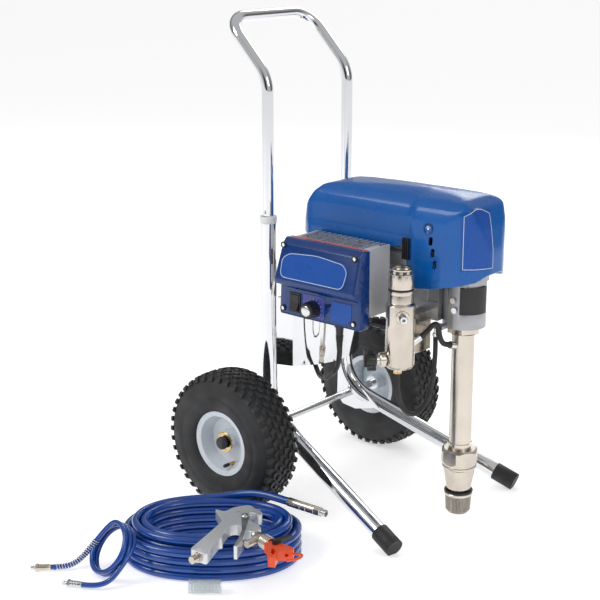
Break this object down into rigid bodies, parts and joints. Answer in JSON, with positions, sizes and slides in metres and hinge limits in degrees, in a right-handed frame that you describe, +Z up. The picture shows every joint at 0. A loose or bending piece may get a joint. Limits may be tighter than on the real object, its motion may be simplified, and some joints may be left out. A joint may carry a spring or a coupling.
{
  "type": "airless paint sprayer",
  "caption": "Wheeled airless paint sprayer with piston pump, motor shroud, control box, filter manifold, coiled hose, whip hose and spray gun.",
  "frame": {"origin": "on the floor, under the middle of the box round the machine and its gun", "axes": "+Z up, +X from the wheels towards the pump, +Y to the operator's left"},
  "size_m": [0.581, 0.956, 0.9481],
  "materials": {
    "chrome_tube": "bright chrome plate",
    "bright_steel": "machined steel",
    "nickel": "satin nickel plate",
    "black_rubber": "moulded rubber",
    "tyre": "tread rubber",
    "white_paint": "white enamel",
    "white_plastic": "moulded",
    "black_plastic": "moulded",
    "grey_casting": "fine sand casting",
    "dark_casting": "satin black",
    "board_green": "circuit board",
    "blue_plastic": "glossy moulding",
    "navy_plastic": "glossy moulding",
    "blue_hose": "smooth sheath",
    "gun_alloy": "polished casting",
    "orange_plastic": "moulded",
    "clear_plastic": "clear moulding"
  },
  "bodies": {
    "machine": {"frame_tube_right": "chrome_tube", "frame_tube_left": "chrome_tube", "foot_caps": "black_rubber", "axle": "bright_steel", "axle_caps": "black_plastic", "axle_brackets": "chrome_tube", "motor_cradle": "chrome_tube", "handle_collars": "white_plastic", "motor_case": "dark_casting", "gear_housing": "grey_casting", "bearing_housing": "grey_casting", "pump_cylinder": "nickel", "pump_nut": "nickel", "intake_valve": "nickel", "inlet_strainer": "bright_steel", "shroud": "blue_plastic", "control_cover": "navy_plastic", "heat_sink": "grey_casting", "circuit_board": "board_green", "cable_fittings": "black_rubber", "case_screws": "bright_steel", "manifold_body": "nickel", "filter_cap": "nickel", "filter_element": "bright_steel", "manifold_fittings": "nickel", "pressure_sensor": "nickel", "prime_valve": "nickel", "pressure_hose": "blue_hose", "drain_hose": "black_rubber", "motor_cable": "black_rubber"},
    "handle": {"handle_tube": "chrome_tube"},
    "button_right": {"handle_button_right": "bright_steel"},
    "button_left": {"handle_button_left": "bright_steel"},
    "wheel_right": {"tyre_right": "tyre", "rim_right": "white_paint", "wheel_bearings_right": "bright_steel"},
    "wheel_left": {"tyre_left": "tyre", "rim_left": "white_paint", "wheel_bearings_left": "bright_steel"},
    "rotor": {"motor_rotor": "bright_steel", "cooling_fan": "black_plastic"},
    "crank": {"crank_gear": "bright_steel", "crankshaft": "bright_steel"},
    "rod_link": {"connecting_rod": "bright_steel"},
    "plunger": {"pump_rod": "bright_steel"},
    "door": {"rod_door": "black_plastic"},
    "dial": {"pressure_knob": "black_plastic"},
    "switch": {"rocker_switch": "black_plastic"},
    "prime": {"prime_knob": "black_plastic"},
    "hose": {"hose_coil": "blue_hose", "hose_leads": "blue_hose", "hose_couplings": "bright_steel"},
    "whip": {"whip_hose": "blue_hose", "whip_fittings": "bright_steel"},
    "gun": {"gun_body": "gun_alloy", "gun_head": "nickel", "tip_guard": "orange_plastic", "swivel_guard": "clear_plastic"},
    "trigger": {"gun_trigger": "bright_steel"},
    "tip": {"spray_tip": "orange_plastic"}
  },
  "joints": [
    {"name": "handle_slide", "type": "slide", "parent": "machine", "child": "handle", "axis": [0, 0, 1], "range_m": [-0.22, 0]},
    {"name": "button_right_press", "type": "slide", "parent": "handle", "child": "button_right", "axis": [0, 1, 0], "range_m": [0, 0.004], "stiffness_N_per_m": 800, "springref_m": -0.002},
    {"name": "button_left_press", "type": "slide", "parent": "handle", "child": "button_left", "axis": [0, -1, 0], "range_m": [0, 0.004], "stiffness_N_per_m": 800, "springref_m": -0.002},
    {"name": "wheel_right_spin", "type": "hinge", "parent": "machine", "child": "wheel_right", "pos_m": [-0.1505, -0.0758, 0.14], "axis": [0, 1, 0], "continuous": true},
    {"name": "wheel_left_spin", "type": "hinge", "parent": "machine", "child": "wheel_left", "pos_m": [-0.1505, 0.3856, 0.14], "axis": [0, 1, 0], "continuous": true},
    {"name": "crank_spin", "type": "hinge", "parent": "machine", "child": "crank", "pos_m": [0.1495, 0.1549, 0.5], "axis": [1, 0, 0], "continuous": true},
    {"name": "rotor_spin", "type": "hinge", "parent": "machine", "child": "rotor", "pos_m": [-0.0205, 0.1549, 0.56], "axis": [1, 0, 0], "continuous": true},
    {"name": "rod_pin", "type": "hinge", "parent": "crank", "child": "rod_link", "pos_m": [0.2095, 0.1549, 0.51], "axis": [1, 0, 0], "continuous": true},
    {"name": "pump_stroke", "type": "slide", "parent": "machine", "child": "plunger", "axis": [0, 0, 1], "range_m": [-0.02, 0]},
    {"name": "rod_door_hinge", "type": "hinge", "parent": "machine", "child": "door", "pos_m": [0.26617, 0.15928, 0.45], "axis": [0, 0, 1], "range_deg": [0, 100]},
    {"name": "pressure_dial", "type": "hinge", "parent": "machine", "child": "dial", "pos_m": [0.0125, -0.0351, 0.424], "axis": [0, -1, 0], "range_deg": [0, 270]},
    {"name": "power_rocker", "type": "hinge", "parent": "machine", "child": "switch", "pos_m": [-0.0335, -0.0216, 0.428], "axis": [1, 0, 0], "range_deg": [0, 9]},
    {"name": "prime_turn", "type": "hinge", "parent": "machine", "child": "prime", "pos_m": [0.13651, -0.00434, 0.346], "axis": [-0.6198, -0.7848, 0], "range_deg": [0, 90]},
    {"name": "hose_lift", "type": "slide", "parent": "machine", "child": "hose", "axis": [0, 0, 1], "range_m": [0, 0.4]},
    {"name": "whip_lift", "type": "slide", "parent": "hose", "child": "whip", "axis": [0, 0, 1], "range_m": [0, 0.3]},
    {"name": "gun_lift", "type": "slide", "parent": "hose", "child": "gun", "axis": [0, 0, 1], "range_m": [0, 0.3]},
    {"name": "trigger_pull", "type": "hinge", "parent": "gun", "child": "trigger", "pos_m": [0.05729, -0.26297, 0.092], "axis": [0, 0, -1], "range_deg": [0, 10], "stiffness_Nm_per_rad": 0.5, "springref_deg": -11.46},
    {"name": "tip_turn", "type": "hinge", "parent": "gun", "child": "tip", "pos_m": [0.1677, -0.30567, 0.092], "axis": [0, 0, -1], "range_deg": [0, 180]}
  ],
  "couplings": [
    {"joint": "rotor_spin", "follows": "crank_spin", "ratio": -6.9},
    {"joint": "rod_pin", "follows": "crank_spin", "ratio": -1}
  ]
}
